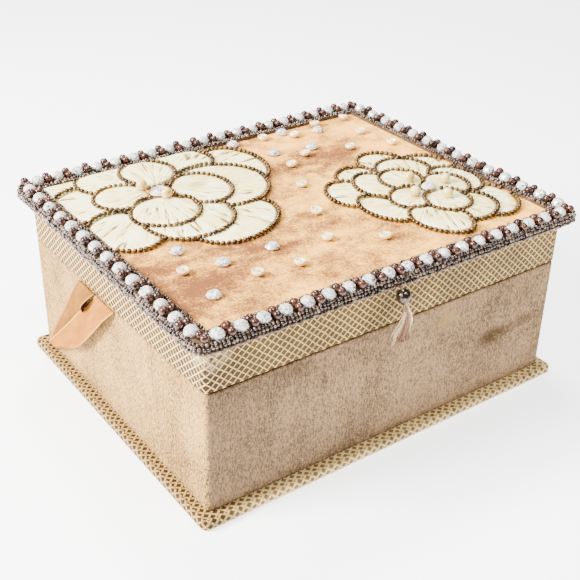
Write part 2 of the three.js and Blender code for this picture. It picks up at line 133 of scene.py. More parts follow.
class Look:
    """A Principled material and short calls for the nodes in front of it."""

    def __init__(self, name, roughness, metallic=0.0, **values):
        self.material = bpy.data.materials.new(name)
        self.material.use_nodes = True
        self.tree = self.material.node_tree
        self.shader = self.tree.nodes["Principled BSDF"]
        self.shader.inputs["Roughness"].default_value = roughness
        self.shader.inputs["Metallic"].default_value = metallic
        for key, value in values.items():
            label = key.replace("_", " ").title().replace("Ior", "IOR")
            self.shader.inputs[label].default_value = value
        self.coords = self.tree.nodes.new("ShaderNodeTexCoord")

    def node(self, kind, inputs=None, **settings):
        node = self.tree.nodes.new("ShaderNode" + kind)
        for key, value in settings.items():
            setattr(node, key, value)
        for key, value in (inputs or {}).items():
            self.feed(node.inputs[key], value)
        return node

    def feed(self, socket, value):
        if isinstance(value, bpy.types.NodeSocket):
            self.tree.links.new(value, socket)
        else:
            socket.default_value = value

    def math(self, operation, a, b=0.0):
        return self.node("Math", {0: a, 1: b}, operation=operation).outputs[0]

    def times(self, a, b):
        return self.math("MULTIPLY", a, b)

    def inverse(self, value):
        return self.math("SUBTRACT", 1.0, value)

    def weighted(self, *terms):
        """The sum of values by their weights."""
        total, *others = [self.times(value, weight) for value, weight in terms]
        for part in others:
            total = self.math("ADD", total, part)
        return total

    def noise(self, source, scale, detail=3.0, roughness=0.5, stretch=(1, 1, 1)):
        """Noise with a scale in turns per metre, times a stretch along each axis."""
        inputs = {"Vector": self.coords.outputs[source], "Scale": tuple(scale * s for s in stretch)}
        vector = self.node("Mapping", inputs).outputs[0]
        inputs = {"Vector": vector, "Scale": 1.0, "Detail": detail, "Roughness": roughness}
        return self.node("TexNoise", inputs).outputs["Fac"]

    def ramp(self, value, low, high):
        """A smooth step from 0 at low to 1 at high."""
        inputs = {"Value": value, "From Min": low, "From Max": high}
        return self.node("MapRange", inputs, interpolation_type="SMOOTHSTEP").outputs["Result"]

    def mix(self, factor, a, b):
        node = self.node("Mix", data_type="RGBA")
        self.feed(node.inputs["Factor"], factor)
        for socket, value in ((node.inputs[6], a), (node.inputs[7], b)):
            self.feed(socket, value if isinstance(value, bpy.types.NodeSocket) else (*value, 1))
        return node.outputs[2]

    def spot(self, centre, radii, edge):
        """1 inside an ellipsoid of the object's space, falling to 0 past its edge."""
        moved = self.node("VectorMath", {0: self.coords.outputs["Object"], 1: centre}, operation="SUBTRACT")
        shrunk = self.node("VectorMath", {0: moved.outputs[0], 1: radii}, operation="DIVIDE")
        length = self.node("VectorMath", {0: shrunk.outputs[0]}, operation="LENGTH").outputs["Value"]
        return self.inverse(self.ramp(length, 1 - edge, 1 + edge))

    def leftward(self, reach):
        """1 on the left walls and the ledge beside them, falling to 0 within a reach."""
        x = self.node("SeparateXYZ", {0: self.coords.outputs["Object"]}).outputs[0]
        return self.inverse(self.ramp(x, BODY_LO[0] + 0.3 * MM, BODY_LO[0] + reach))

    def colour(self, socket):
        self.feed(self.shader.inputs["Base Color"], socket)

    def bump(self, height, distance, strength=1.0):
        inputs = {"Height": height, "Distance": distance, "Strength": strength}
        if self.shader.inputs["Normal"].links:
            inputs["Normal"] = self.shader.inputs["Normal"].links[0].from_socket
        self.feed(self.shader.inputs["Normal"], self.node("Bump", inputs).outputs["Normal"])


def velvet_look(name, light, dark, stains_and_painted_light=False):
    """Cut velvet with an upright nap: fine grain, short upright streaks and broad brushed patches.

    With its marks on, it has the box's smudges and stains, a left wall painted paler and more contrasty as
    the key light shows it, and its darker front left corner.
    """
    look = Look(name, roughness=0.9, sheen_weight=0.06, sheen_roughness=0.4, specular_ior_level=0.05)
    look.shader.inputs["Sheen Tint"].default_value = (1, 0.7, 0.4, 1)
    streaks = look.noise("Object", 1.0, 3.0, 0.6, stretch=(1250, 1250, 520))
    grain = look.noise("Object", 1.0, 2.0, 0.8, stretch=(1900, 1900, 1600))
    patches = look.noise("Object", 30.0, 5.0, 0.62)
    nap = look.weighted((streaks, 0.36), (grain, 0.46), (patches, 0.18))
    colour = look.mix(look.ramp(nap, 0.42, 0.58), dark, light)
    if stains_and_painted_light:
        brushed = look.noise("Object", 1.0, 3.0, 0.6, stretch=(330, 330, 34))
        nap = look.math("ADD", nap, look.times(look.math("SUBTRACT", brushed, 0.5), 0.07))
        # The left wall has its own copy of the velvet. The grain is the velvet's own, but its paler tone and
        # stronger contrast are painted light, as the key light shows that wall.
        lit_left_wall = look.mix(look.ramp(nap, 0.42, 0.58), (0.062, 0.033, 0.011), (0.6, 0.35, 0.122))
        others = look.mix(look.ramp(nap, 0.42, 0.58), dark, light)
        others = look.mix(look.times(look.leftward(FRONT_FADE), 0.42), others, dark)
        colour = look.mix(look.leftward(CORNER_FADE), others, lit_left_wall)
        left, front = BODY_LO[:2]
        cloud = look.noise("Object", 190.0, 4.0, 0.65, stretch=(1, 1, 2.2))
        smudges = [
            ((62 * MM, front, 35.5 * MM), (9 * MM, 4 * MM, 4 * MM), 0.95),
            ((74 * MM, front, 36.5 * MM), (13 * MM, 4 * MM, 2.5 * MM), 0.35),
            ((84 * MM, front, 38.5 * MM), (6 * MM, 4 * MM, 3 * MM), 0.45),
            ((-56 * MM, front, 61 * MM), (7 * MM, 4 * MM, 3 * MM), 0.35),
            ((-30 * MM, front, 14 * MM), (40 * MM, 4 * MM, 10 * MM), 0.16),
        ]
        for centre, radii, weight in smudges:
            mask = look.times(look.spot(centre, radii, 0.8), look.ramp(cloud, 0.22, 0.46))
            colour = look.mix(look.times(mask, weight), colour, (0.05, 0.03, 0.012))
        yellow = [
            ((29.5 * MM, front, 56 * MM), (6 * MM, 4 * MM, 3.5 * MM), 0.4),
            ((left, -75 * MM, 61.5 * MM), (4 * MM, 4 * MM, 2.5 * MM), 0.75),
        ]
        for centre, radii, weight in yellow:
            mask = look.times(look.spot(centre, radii, 0.5), weight)
            colour = look.mix(mask, colour, (0.32, 0.21, 0.055))
    look.colour(colour)
    look.bump(streaks, 0.5 * MM, 0.5)
    look.bump(grain, 0.25 * MM, 0.6)
    return look.material


def lattice_look(name, pitch, width, thread, cell, cell_dark, painted_light_left_thread, painted_shade_left_cell, frayed=None):
    """Raised threads crossing on the slant over darker cells, laid out in the mesh's own UV metres.

    pitch is a cell's size along and up, and width a thread's share of it. frayed is the middle and the
    radii of a place where the threads are rubbed pale.
    """
    look = Look(name, roughness=0.6, specular_ior_level=0.15)
    split = look.node("SeparateXYZ", {0: look.coords.outputs["UV"]})
    wobble = look.times(look.math("SUBTRACT", look.noise("UV", 150.0, 2.0), 0.5), 0.2)
    u = look.math("ADD", look.math("DIVIDE", split.outputs[0], pitch[0]), wobble)
    v = look.math("ADD", look.math("DIVIDE", split.outputs[1], pitch[1]), wobble)
    closeness = []
    for operation in ("ADD", "SUBTRACT"):
        turn = look.math("FRACT", look.math(operation, u, v))
        closeness.append(look.times(look.math("ABSOLUTE", look.math("SUBTRACT", turn, 0.5)), 2.0))
    nearest = look.math("MAXIMUM", *closeness)
    crossing = look.math("MINIMUM", *closeness)
    mask = look.ramp(nearest, 1 - width, 1 - width * 0.4)
    grain = look.noise("UV", 2200.0, 2.0)
    patches = look.noise("UV", 45.0, 3.0)
    tone = look.weighted((grain, 0.5), (patches, 0.5))
    cells = look.mix(look.ramp(tone, 0.4, 0.6), cell_dark, cell)
    # Painted shade and light: on the left walls and the ledge beside them, the cells and threads take their
    # own colours for how the key light falls there.
    cells = look.mix(look.leftward(LATTICE_FADE), cells, painted_shade_left_cell)
    faded = tuple(0.3 * c + 0.7 * d for c, d in zip(cell, thread))
    lines = look.mix(look.ramp(patches, 0.38, 0.62), faded, thread)
    lines = look.mix(look.leftward(LATTICE_FADE), lines, painted_light_left_thread)
    colour = look.mix(mask, cells, lines)
    if frayed:
        fluff = look.ramp(look.noise("Object", 420.0, 3.0, 0.7, stretch=(1, 1, 0.4)), 0.38, 0.6)
        rubbed = look.times(look.spot(*frayed, 0.5), look.times(fluff, 0.5))
        colour = look.mix(rubbed, colour, (0.78, 0.6, 0.36))
    look.colour(colour)
    height = look.math("ADD", mask, look.times(look.ramp(crossing, 0.55, 1.0), 0.6))
    look.bump(height, 0.7 * MM, 1.0)
    look.bump(grain, 0.12 * MM, 0.5)
    return look.material


def crushed_look():
    """Crushed velvet: brushed patches of pink brown and pale sand."""
    look = Look("lid_velvet", roughness=0.9, sheen_weight=0.04, sheen_roughness=0.4, specular_ior_level=0.08)
    look.shader.inputs["Sheen Tint"].default_value = (1, 0.6, 0.3, 1)
    broad = look.noise("Object", 27.0, 5.0, 0.66, stretch=(1, 1.4, 1))
    fine = look.noise("Object", 120.0, 4.0, 0.7)
    pile = look.noise("Object", 950.0, 3.0, 0.7)
    blend = look.weighted((broad, 0.46), (fine, 0.26), (pile, 0.28))
    brushed = [
        ((-66, -30), (46, 28), -0.09),
        ((-40, -6), (22, 9), -0.05),
        ((36, 37), (24, 11), -0.06),
        ((22, -54), (15, 9), -0.03),
        ((-10, -48), (20, 13), 0.05),
        ((-66, -58), (12, 9), 0.05),
        ((88, 50), (12, 18), 0.05),
    ]
    for (x, y), (across, deep), shift in brushed:
        place = look.spot((x * MM, y * MM, LID_TOP), (across * MM, deep * MM, 20 * MM), 0.8)
        blend = look.math("ADD", blend, look.times(place, shift))
    colour = look.mix(look.ramp(blend, 0.385, 0.585), (0.17, 0.062, 0.022), (0.97, 0.485, 0.092))
    look.colour(colour)
    look.bump(fine, 0.6 * MM, 0.4)
    look.bump(pile, 0.3 * MM, 0.6)
    return look.material


def petal_look():
    """Cream satin in patches of yellower cream, with painted shade in its folds and painted shadow in dark
    lines where the gathers close.
    """
    look = Look("petal_satin", roughness=0.42, specular_ior_level=0.25)
    folds = look.noise("UV", 1.0, 2.0, 0.65, stretch=(16, 66, 1))
    broad = look.noise("Object", 90.0, 2.0)
    # Painted shade: the folds are darker, and the thin dark lines where the gathers close are painted
    # shadow.
    pleat_shadows = look.inverse(look.ramp(folds, 0.345, 0.39))
    cream = look.mix(look.ramp(broad, 0.42, 0.62), (0.93, 0.88, 0.5), (0.88, 0.74, 0.3))
    shade = look.mix(look.ramp(folds, 0.35, 0.47), (0.62, 0.43, 0.12), cream)
    shade = look.mix(look.times(pleat_shadows, 0.9), shade, (0.09, 0.05, 0.015))
    glue = look.spot((-32.5 * MM, 36 * MM, TRIM_Z + 2 * MM), (4 * MM, 3 * MM, 4 * MM), 0.6)
    look.colour(look.mix(look.times(glue, 0.55), shade, (0.4, 0.2, 0.08)))
    look.bump(folds, 0.9 * MM, 0.9)
    return look.material


def ribbon_look(name, light, dark, edge):
    """Thin satin ribbon with fine lengthwise threads, soft creases and pale woven edges."""
    look = Look(name, roughness=0.45, specular_ior_level=0.0)
    split = look.node("SeparateXYZ", {0: look.coords.outputs["UV"]})
    weave = look.noise("UV", 1.0, 3.0, 0.5, stretch=(2600, 160, 1))
    crease = look.noise("UV", 1.0, 2.0, 0.5, stretch=(190, 45, 1))
    side = look.math("ABSOLUTE", look.math("SUBTRACT", split.outputs[0], 0.5 * RIBBON_W))
    woven = look.times(look.ramp(side, 0.44 * RIBBON_W, 0.455 * RIBBON_W), 0.7)
    tone = look.weighted((weave, 0.45), (crease, 0.55))
    look.colour(look.mix(woven, look.mix(look.ramp(tone, 0.35, 0.65), dark, light), edge))
    look.bump(weave, 0.06 * MM, 0.5)
    look.bump(crease, 0.6 * MM, 0.6)
    look.bump(look.ramp(side, 0.43 * RIBBON_W, 0.45 * RIBBON_W), 0.15 * MM, 0.8)
    return look.material


def bead_look(name, light, dark, roughness, metallic, coat=0.6):
    """Glazed or metal-lined seed beads, some darker than others."""
    look = Look(name, roughness=roughness, metallic=metallic, coat_weight=coat, coat_roughness=0.08)
    tint = look.noise("Object", 420.0, 1.0)
    look.colour(look.mix(look.ramp(tint, 0.38, 0.62), dark, light))
    look.bump(look.noise("Object", 1600.0, 1.0), 0.05 * MM, 0.4)
    return look.material


def crystal_look(name, tint, dark, transmission):
    """Crackled clear glass: see-through, with fine dark cracks between glittering facets."""
    look = Look(name, roughness=0.04, ior=1.5, transmission_weight=transmission, coat_weight=1.0)
    look.shader.inputs["Coat Roughness"].default_value = 0.03
    inputs = {"Vector": look.coords.outputs["Object"], "Scale": 700.0, "Randomness": 1.0}
    facets = look.node("TexVoronoi", inputs)
    edges = look.node("TexVoronoi", inputs, feature="DISTANCE_TO_EDGE").outputs["Distance"]
    shade = look.node("SeparateColor", {0: facets.outputs["Color"]}).outputs[0]
    crack = look.inverse(look.ramp(edges, 0.03, 0.12))
    crack = look.times(crack, look.ramp(shade, 0.3, 0.4))
    look.colour(look.mix(crack, tint, dark))
    look.bump(shade, 0.4 * MM, 0.45)
    return look.material


def pearl_look(name, light, dark):
    """Smooth lustre over soft clouds of two tones."""
    look = Look(name, roughness=0.22, coat_weight=0.7, coat_roughness=0.06, sheen_weight=0.2)
    cloud = look.noise("Object", 300.0, 1.0)
    look.colour(look.mix(look.ramp(cloud, 0.3, 0.7), dark, light))
    return look.material


def metal_look():
    """Dark polished metal with small dents."""
    look = Look("gunmetal", roughness=0.2, metallic=1.0)
    dents = look.noise("Object", 900.0, 2.0)
    look.colour(look.mix(look.ramp(dents, 0.3, 0.7), (0.035, 0.026, 0.02), (0.15, 0.115, 0.09)))
    look.bump(dents, 0.3 * MM, 0.6)
    return look.material


def thread_look(name, light, dark):
    """Silky thread with fibres running down it."""
    look = Look(name, roughness=0.6, sheen_weight=0.1, specular_ior_level=0.2)
    fibre = look.noise("Object", 1.0, 2.0, stretch=(2600, 2600, 300))
    look.colour(look.mix(look.ramp(fibre, 0.3, 0.7), dark, light))
    return look.material


BODY_VELVET = velvet_look("body_velvet", (0.41, 0.255, 0.135), (0.078, 0.05, 0.031), stains_and_painted_light=True)
LINING = velvet_look("lining_velvet", (0.42, 0.25, 0.12), (0.17, 0.095, 0.045))
SKIRT_LATTICE = lattice_look(
    "skirt_lattice",
    pitch=(SKIRT_PITCH, 3.7 * MM),
    width=0.27,
    thread=(0.9, 0.57, 0.175),
    cell=(0.1, 0.062, 0.017),
    cell_dark=(0.05, 0.03, 0.008),
    # On the left the cells are darkened with painted shade, and the threads are made a little richer with
    # painted light.
    painted_light_left_thread=(0.95, 0.58, 0.155),
    painted_shade_left_cell=(0.028, 0.015, 0.004),
    frayed=((BODY_LO[0], BODY_LO[1], SKIRT_HI[2] - 3 * MM), (11 * MM, 11 * MM, 7 * MM)),
)
BASE_LATTICE = lattice_look(
    "base_lattice",
    pitch=(4.4 * MM, 3.8 * MM),
    width=0.54,
    thread=(1.0, 0.76, 0.36),
    cell=(0.36, 0.205, 0.055),
    cell_dark=(0.14, 0.075, 0.02),
    # On the left ledge the threads and cells are darkened with painted shade.
    painted_light_left_thread=(0.42, 0.26, 0.08),
    painted_shade_left_cell=(0.034, 0.018, 0.005),
)
LID_VELVET = crushed_look()
BOARD_EDGE = velvet_look("board_edge_velvet", (0.3, 0.18, 0.09), (0.13, 0.075, 0.035))
PETAL_SATIN = petal_look()
# The back strand is the same satin in darker colours. This is painted shade, because that strand lies in
# shadow.
RIBBON_SATIN = ribbon_look("ribbon_face", (0.38, 0.15, 0.028), (0.28, 0.1, 0.014), (0.58, 0.3, 0.08))
RIBBON_SHADED = ribbon_look("ribbon_painted_shade", (0.26, 0.11, 0.025), (0.18, 0.07, 0.013), (0.42, 0.2, 0.06))
BRONZE = bead_look("bronze_beads", (0.15, 0.075, 0.017), (0.03, 0.014, 0.004), 0.24, 0.6, 0.12)
SMOKE_BEADS = bead_look("smoke_beads", (0.21, 0.135, 0.095), (0.045, 0.027, 0.02), 0.1, 0.35)
TAUPE_BEADS = bead_look("taupe_beads", (0.075, 0.043, 0.027), (0.022, 0.012, 0.008), 0.12, 0.4)
BROWN_BEADS = bead_look("brown_beads", (0.07, 0.02, 0.009), (0.018, 0.006, 0.004), 0.22, 0.0, 0.1)
TAPE = velvet_look("border_tape", (0.12, 0.07, 0.04), (0.05, 0.028, 0.016))
CRYSTAL = crystal_look("crystal", (1.0, 0.99, 0.97), (0.1, 0.08, 0.07), 0.25)
SEQUIN = pearl_look("sequin", (0.95, 0.84, 0.52), (0.8, 0.6, 0.28))
PEARL = pearl_look("pearl", (0.92, 0.72, 0.24), (0.6, 0.36, 0.08))
GUNMETAL = metal_look()
PALE_THREAD = thread_look("pale_thread", (0.97, 0.82, 0.52), (0.6, 0.38, 0.2))
ROSE_THREAD = thread_look("rose_thread", (0.4, 0.215, 0.12), (0.13, 0.066, 0.038))


# Meshes
def build(name, verts, faces, material, body, uvs=None, smooth=True, node=None):
    """A mesh riding a body, or none yet. material is one, or several and each face's number among them."""
    mesh = bpy.data.meshes.new(name)
    mesh.from_pydata([tuple(v) for v in verts], [], [tuple(f) for f in faces])
    if uvs is not None:
        layer = mesh.uv_layers.new(name="UVMap")
        flat = np.array([c for uv in uvs for c in uv], dtype=np.float32)
        layer.data.foreach_set("uv", flat)
    mesh.validate()
    mesh.update()
    mesh.shade_smooth() if smooth else mesh.shade_flat()
    piece = bpy.data.objects.new(name, mesh)
    bpy.context.scene.collection.objects.link(piece)
    if isinstance(material, tuple):
        for one in material[0]:
            mesh.materials.append(one)
        mesh.polygons.foreach_set("material_index", material[1])
    else:
        mesh.materials.append(material)
    if body:
        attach(piece, body)
    if node:
        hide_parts(*node)
    return piece


CORNER_STEPS = 8
SIDE_STEPS = int(round(BODY_W / (3 * MM)))


def rounded_rect(width, depth, radius):
    """Points round a rounded rectangle, counter-clockwise from its front right corner.

    Every rectangle has the same number of points, so any two can be joined into a band.
    """
    points = []
    radius = max(radius, 0.05 * MM)
    corners = [(1, -1, -math.pi / 2), (1, 1, 0), (-1, 1, math.pi / 2), (-1, -1, math.pi)]
    for (sx, sy, start), side in zip(corners, (depth, width, depth, width)):
        cx, cy = sx * (width / 2 - radius), sy * (depth / 2 - radius)
        for i in range(CORNER_STEPS + 1):
            a = start + i / CORNER_STEPS * math.pi / 2
            points.append((cx + radius * math.cos(a), cy + radius * math.sin(a)))
        run = side - 2 * radius
        end = start + math.pi / 2
        x0, y0 = points[-1]
        for i in range(1, SIDE_STEPS):
            s = run * i / SIDE_STEPS
            points.append((x0 - s * math.sin(end), y0 + s * math.cos(end)))
    return points


def ring_faces(rings, count):
    """Faces between rings of points, each ring closed on itself."""
    faces = []
    for low in range(0, (rings - 1) * count, count):
        for k in range(count):
            j = (k + 1) % count
            faces.append((low + k, low + j, low + count + j, low + count + k))
    return faces


def swept_box(name, width, depth, radius, section, material, body, node=None, cap=(True, True), wave=None):
    """A band round a rounded rectangle, with caps or open. section is a list of (offset outwards, z).

    material is one, or three: of the bottom cap, the band and the top cap. wave moves a point up or down
    from its running length round the rectangle and its z.
    """
    base = rounded_rect(width, depth, radius)
    lengths = [0.0]
    for a, b in zip(base, base[1:] + base[:1]):
        lengths.append(lengths[-1] + math.dist(a, b))
    travel = [0.0]
    for a, b in zip(section, section[1:]):
        travel.append(travel[-1] + math.dist(a, b))
    verts = []
    for offset, z in section:
        ring = rounded_rect(width + 2 * offset, depth + 2 * offset, radius + offset)
        for length, (x, y) in zip(lengths, ring):
            verts.append((x, y, z + (wave(length, z) if wave else 0.0)))
    count = len(base)
    faces = ring_faces(len(section), count)
    uvs = []
    for v0, v1 in zip(travel, travel[1:]):
        for u0, u1 in zip(lengths, lengths[1:]):
            uvs += [(u0, v0), (u1, v0), (u1, v1), (u0, v1)]
    if cap[0]:
        faces.append(list(reversed(range(count))))
        uvs += [verts[i][:2] for i in faces[-1]]
    if cap[1]:
        faces.append(list(range(len(verts) - count, len(verts))))
        uvs += [verts[i][:2] for i in faces[-1]]
    if isinstance(material, tuple):
        material = (material, [1] * (len(faces) - 2) + [0, 2])
    piece = build(name, verts, faces, material, body, uvs, node=node)
    for face in list(piece.data.polygons)[len(faces) - sum(cap):]:
        face.use_smooth = False


def rounded_edge(z0, z1, radius):
    """The side of a board with rounded edges, as (offset, z) from its underside to its top."""
    steps = 5
    angles = [i / steps * math.pi / 2 for i in range(steps + 1)]
    low = [(radius * (math.sin(a) - 1), z0 + radius * (1 - math.cos(a))) for a in angles]
    return low + [(radius * (math.cos(a) - 1), z1 - radius * (1 - math.sin(a))) for a in angles]


def box_pieces():
    width = BASE_HI[0] - BASE_LO[0]
    depth = BASE_HI[1] - BASE_LO[1]
    edge = rounded_edge(BASE_LO[2], BASE_HI[2], 1.8 * MM)
    swept_box("base_board_cloth", width, depth, BASE_CORNER_R, edge, BASE_LATTICE, "box", ["base_board"])
    wall = [
        (-0.3 * MM, BODY_LO[2]),
        (0, BODY_LO[2] + 0.5 * MM),
        (0, BODY_LO[2] + 20 * MM),
        (0, BODY_LO[2] + 40 * MM),
        (0, RIM_Z - 0.9 * MM),
        (-0.25 * MM, RIM_Z - 0.3 * MM),
        (-0.8 * MM, RIM_Z),
        (-LINING_T, RIM_Z),
    ]
    swept_box("body_velvet", *BODY_RECT, wall, BODY_VELVET, "box", ["box_body"], (True, False))
    lining = [
        (-LINING_T, RIM_Z),
        (-WALL_T + 0.6 * MM, RIM_Z),
        (-WALL_T + 0.1 * MM, RIM_Z - 0.3 * MM),
        (-WALL_T, RIM_Z - 0.9 * MM),
        (-WALL_T, BODY_LO[2] + FLOOR_T + 0.6 * MM),
        (-WALL_T - 0.6 * MM, BODY_LO[2] + FLOOR_T),
    ]
    swept_box("body_lining", *BODY_RECT, lining, LINING, "box", cap=(False, True))


def lid_pieces():
    def wave(u, z):
        return 0.2 * MM * math.cos(2 * math.pi * u / SKIRT_PITCH) if z < SKIRT_Z + 0.6 * MM else 0.0

    skirt = [
        (-LINING_T, SKIRT_Z + 0.2 * MM),
        (-0.4 * MM, SKIRT_Z + 0.1 * MM),
        (0, SKIRT_Z + 0.4 * MM),
        (0.05 * MM, SKIRT_Z + 1.2 * MM),
        (0.05 * MM, SKIRT_HI[2] + 0.2 * MM),
    ]
    swept_box("skirt_lattice", *BODY_RECT, skirt, SKIRT_LATTICE, "lid", ["lid_skirt"], (False, False), wave)
    inside = [
        (-WALL_T, LID_LO[2] - 0.1 * MM),
        (-WALL_T, SKIRT_Z + 0.9 * MM),
        (-WALL_T + 0.4 * MM, SKIRT_Z + 0.3 * MM),
        (-WALL_T + 0.9 * MM, SKIRT_Z + 0.2 * MM),
        (-LINING_T, SKIRT_Z + 0.2 * MM),
    ]
    swept_box("skirt_lining", *BODY_RECT, inside, LINING, "lid", cap=(False, False))
    edge = rounded_edge(LID_LO[2], LID_TOP, 1.3 * MM)
    cloths = (LINING, BOARD_EDGE, LID_VELVET)
    swept_box("lid_cloth", *LID_RECT, edge, cloths, "lid", ["lid_board"])


box_pieces()
lid_pieces()


# Beads, strung by the hundred into one mesh
def bead_mesh(around=7, along=3, hole=0.28, length=0.72):
    """A seed bead of unit radius with its hole along X: a rounded ring of the given half length."""
    profile = []
    for i in range(along + 2):
        a = i / (along + 1) * math.pi
        profile.append((-math.cos(a) * length, hole + (1 - hole) * math.sin(a) ** 0.7))
    verts = []
    for x, r in profile:
        for k in range(around):
            t = k / around * 2 * math.pi
            verts.append((x, r * math.cos(t), r * math.sin(t)))
    return np.array(verts), ring_faces(len(profile), around)


def facet_mesh(sides, rows=((0.75, 0.0), (1.0, 0.35), (0.82, 0.72), (0.52, 1.0))):
    """A cut stone of unit radius and height: rows of (radius, height), each turned by half a facet."""
    verts, faces = [], []
    for i, (r, z) in enumerate(rows):
        for k in range(sides):
            t = (k + 0.5 * (i % 2)) / sides * 2 * math.pi
            verts.append((r * math.cos(t), r * math.sin(t), z))
    for i in range(len(rows) - 1):
        a, b = i * sides, (i + 1) * sides
        for k in range(sides):
            j = (k + 1) % sides
            if i % 2:
                faces += [(a + k, a + j, b + j), (a + k, b + j, b + k)]
            else:
                faces += [(a + k, a + j, b + k), (a + j, b + j, b + k)]
    faces.append(tuple(reversed(range(sides))))
    top = (len(rows) - 1) * sides
    faces.append(tuple(top + k for k in range(sides)))
    return np.array(verts), faces


def copies(name, template, places, material, body, node=None, smooth=True):
    """One mesh of many copies of a template, each at a place: its 3 x 3 matrix and its offset."""
    verts, faces = template
    all_verts, all_faces = [], []
    for turn, offset in places:
        start = len(all_verts) * len(verts)
        all_verts.append(verts @ np.asarray(turn).T + np.asarray(offset))
        all_faces += [tuple(i + start for i in f) for f in faces]
    build(name, np.concatenate(all_verts), all_faces, material, body, smooth=smooth, node=node)


def bead_place(point, along, radius, jitter):
    """A bead threaded along a direction, a little uneven as hand-strung beads are."""
    x = Vector(along).normalized()
    x = (x + Vector((rng.gauss(0, jitter), rng.gauss(0, jitter), rng.gauss(0, jitter)))).normalized()
    y = Vector((0, 0, 1)).cross(x)
    if y.length < 0.1:
        y = Vector((0, 1, 0))
    y.normalize()
    z = x.cross(y)
    size = radius * rng.uniform(0.9, 1.06)
    turn = np.array([list(x), list(y), list(z)]).T * size
    return turn, tuple(point)


def strung(points, pitch, closed):
    """Points and directions at an even pitch along a line."""
    line = [Vector(p) for p in points]
    if closed:
        line.append(line[0])
    lengths = [0.0]
    for a, b in zip(line, line[1:]):
        lengths.append(lengths[-1] + (b - a).length)
    total = lengths[-1]
    count = max(int(round(total / pitch)), 1)
    result = []
    i = 0
    for k in range(count if closed else count + 1):
        s = total * k / count
        while i < len(line) - 2 and lengths[i + 1] < s:
            i += 1
        span = max(lengths[i + 1] - lengths[i], 1e-9)
        t = (s - lengths[i]) / span
        result.append((line[i].lerp(line[i + 1], t), line[i + 1] - line[i]))
    return result


def turned(angle):
    """A turn about Z, as a matrix."""
    c, s = math.cos(angle), math.sin(angle)
    return np.array([[c, -s, 0], [s, c, 0], [0, 0, 1]])


SEED = bead_mesh()


# The lid's beaded border
SMOKE_SHARE = 0.55
BORDER_STONE_ROWS = ((0.45, 0.0), (0.88, 0.2), (1.0, 0.48), (0.8, 0.8), (0.36, 1.0))


def border_row(offset, z):
    """A row of seed beads round the lid, a little off its line as hand-sewn rows are."""
    ring = rounded_rect(LID_W - 2 * offset, LID_D - 2 * offset, max(LID_CORNER_R - offset, 0.5 * MM))
    places = []
    for point, along in strung([(x, y, z) for x, y in ring], SEED_PITCH, closed=True):
        off = Vector((rng.gauss(0, 0.16), rng.gauss(0, 0.16), rng.gauss(0, 0.22))) * MM
        places.append(bead_place(point + off, along, SEED_R * rng.uniform(0.9, 1.12), 0.3))
    return places


def stone_rows():
    """Places of the stones, and of the gaps between them with whether the row runs along Y."""
    x, y = LID_W / 2 - STONE_ROW, LID_D / 2 - STONE_ROW
    stones, gaps = [], []
    for upright, length, count in ((False, LID_W, STONES_FRONT), (True, LID_D, STONES_SIDE)):
        pitch = (length - 2 * STONE_END) / (count - 1)
        for sign in (-1, 1):
            for i in range(count):
                s = (i - (count - 1) / 2) * pitch
                stones.append((sign * x, s) if upright else (s, sign * y))
                if i < count - 1:
                    m = s + pitch / 2
                    gaps.append((sign * x, m, True) if upright else (m, sign * y, False))
    for sx in (-1, 1):
        for sy in (-1, 1):
            gaps.append((sx * (x - 1 * MM), sy * (y - 1 * MM), False))
    return stones, gaps


def border():
    tape = [
        (0.2 * MM, LID_TOP - 3.2 * MM),
        (0.3 * MM, LID_TOP - 1.2 * MM),
        (0.1 * MM, TRIM_Z + 0.1 * MM),
        (-1 * MM, TRIM_Z + TAPE_T),
        (-BORDER_W + 0.4 * MM, TRIM_Z + TAPE_T),
        (-BORDER_W + 0.2 * MM, TRIM_Z - GAP),
    ]
    swept_box("border_tape", *LID_RECT, tape, TAPE, "lid", cap=(False, False))
    side = -(GAP + 0.85 * MM)
    seeds = []
    for offset, z in (
        (side, LID_TOP - 1.9 * MM),
        (side * 0.9, LID_TOP - 0.2 * MM),
        (side * 0.3, LID_TOP + 1.3 * MM),
        (BORDER_W - 0.9 * MM, TRIM_Z + 1.2 * MM),
        (BORDER_W - 2.6 * MM, TRIM_Z + 1.3 * MM),
    ):
        seeds += border_row(offset, z)
    rng.shuffle(seeds)
    smoke = int(len(seeds) * SMOKE_SHARE)
    copies("border_smoke_beads", SEED, seeds[:smoke], SMOKE_BEADS, "lid", ["beaded_border"])
    copies("border_taupe_beads", SEED, seeds[smoke:], TAUPE_BEADS, "lid")
    stones, gaps = stone_rows()
    full_size = [STONE_R, STONE_R, STONE_H + 0.5 * MM]
    placed = []
    for x, y in stones:
        turn = turned(rng.uniform(0, 6))
        size = rng.uniform(0.96, 1.03)
        placed.append((turn @ np.diag(full_size) * size, (x, y, TRIM_Z + 0.1 * MM)))
    copies("border_stones", facet_mesh(7, BORDER_STONE_ROWS), placed, CRYSTAL, "lid", smooth=False)
    brown = []
    for x, y, upright in gaps:
        for half in (-1, 1):
            shift = half * 1.85 * MM + rng.uniform(-0.2, 0.2) * MM
            dx, dy = (shift, 0) if upright else (0, shift)
            z = TRIM_Z + TAPE_T + 2.1 * MM + rng.uniform(-0.3, 0.4) * MM
            along = (0, 1, 0) if upright else (1, 0, 0)
            brown.append(bead_place((x + dx, y + dy, z), along, BROWN_BEAD_R, 0.25))
    large = bead_mesh(around=12, along=6, hole=0.25, length=0.85)
    copies("border_brown_beads", large, brown, BROWN_BEADS, "lid")


border()


